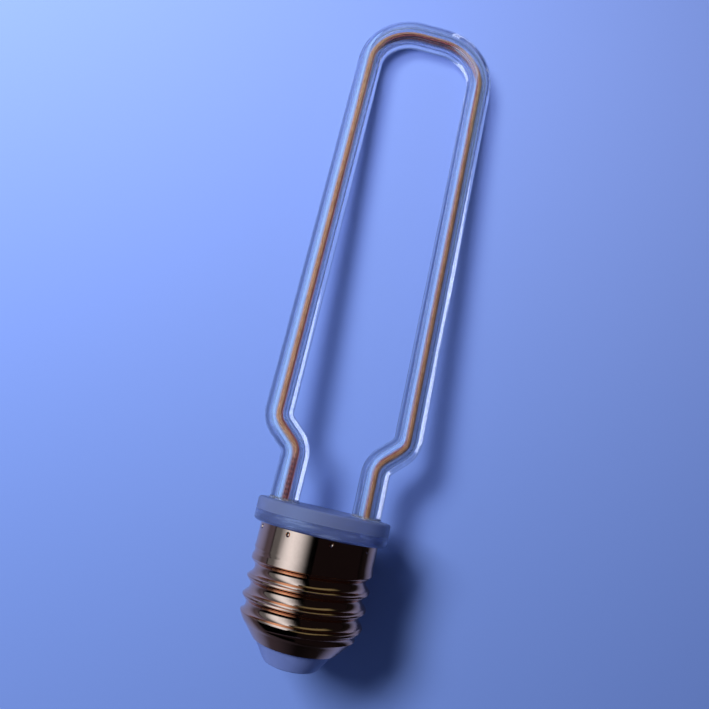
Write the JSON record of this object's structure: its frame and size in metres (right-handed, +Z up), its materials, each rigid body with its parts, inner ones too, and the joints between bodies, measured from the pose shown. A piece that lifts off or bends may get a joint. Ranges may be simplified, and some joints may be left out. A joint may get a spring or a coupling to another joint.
{
  "type": "led filament bulb",
  "caption": "Hairpin LED filament bulb: a clear bent tube with a flexible filament, on a frosted collar and an E27 screw cap.",
  "frame": {"origin": "centre of the bounding box, on the surface that the bulb lies on", "axes": "+Y towards the far end of the loop, +X across the loop, +Z up. The bulb lies as it comes to rest, on the collar's rim and the loop's far end, so its axis dips 5.08 degrees towards +Y"},
  "size_m": [0.037, 0.1636, 0.0298],
  "materials": {
    "clear_acrylic": "clear and polished",
    "phosphor_silicone": "soft satin",
    "flexible_circuit": "matt with small copper pads",
    "frosted_collar": "frosted, slightly milky",
    "clear_glue": "clear adhesive",
    "screw_brass": "mirror bright, rose gold",
    "white_insulator": "smooth moulded",
    "contact_metal": "tinned",
    "tinned_wire": "tinned",
    "board_laminate": "matt lacquer",
    "chip_black": "moulded",
    "capacitor_sleeve": "shrunk sleeve",
    "resistor_body": "lacquered",
    "wire_red": "insulation",
    "wire_blue": "insulation",
    "solder": "bright solder"
  },
  "bodies": {
    "root": {"clear_tube": "clear_acrylic", "filament_phosphor": "phosphor_silicone", "filament_ribbon": "flexible_circuit", "filament_terminal_left": "tinned_wire", "filament_terminal_right": "tinned_wire", "filament_lead_left": "tinned_wire", "filament_lead_right": "tinned_wire", "tube_seal_left": "clear_glue", "tube_seal_right": "clear_glue", "base_collar": "frosted_collar", "screw_shell": "screw_brass", "insulator": "white_insulator", "centre_contact": "contact_metal", "driver_board": "board_laminate", "bridge_rectifier": "chip_black", "driver_ic": "chip_black", "sense_resistors": "chip_black", "smoothing_capacitor": "capacitor_sleeve", "fusible_resistor": "resistor_body", "live_wire": "wire_red", "neutral_wire": "wire_blue", "solder_joints": "solder"}
  },
  "joints": []
}
